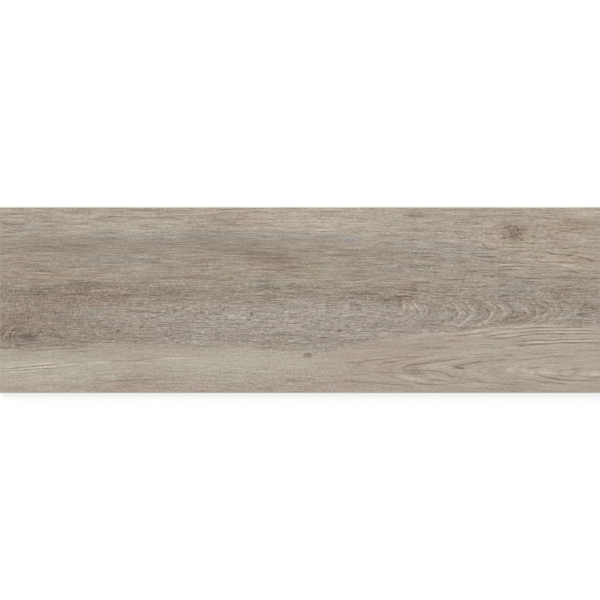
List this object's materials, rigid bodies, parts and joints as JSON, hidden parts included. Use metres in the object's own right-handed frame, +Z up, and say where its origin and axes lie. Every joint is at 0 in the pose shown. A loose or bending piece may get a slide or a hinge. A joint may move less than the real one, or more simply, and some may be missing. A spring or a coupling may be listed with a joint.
{
  "type": "wood-look porcelain tile",
  "caption": "Oblong rectified porcelain plank tile for floors and walls: matt wood-grain face with a fine arris, square ground sides and a shallow keying lattice pressed into the back.",
  "frame": {"origin": "middle of the bedding plane, at the height of the rib crests on the back", "axes": "+X along the tile's length and the wood grain, +Y across its width, +Z up through the printed face"},
  "size_m": [0.598, 0.185, 0.008],
  "materials": {
    "porcelain": "matte"
  },
  "bodies": {
    "root": {"porcelain_tile": "porcelain"}
  },
  "joints": []
}
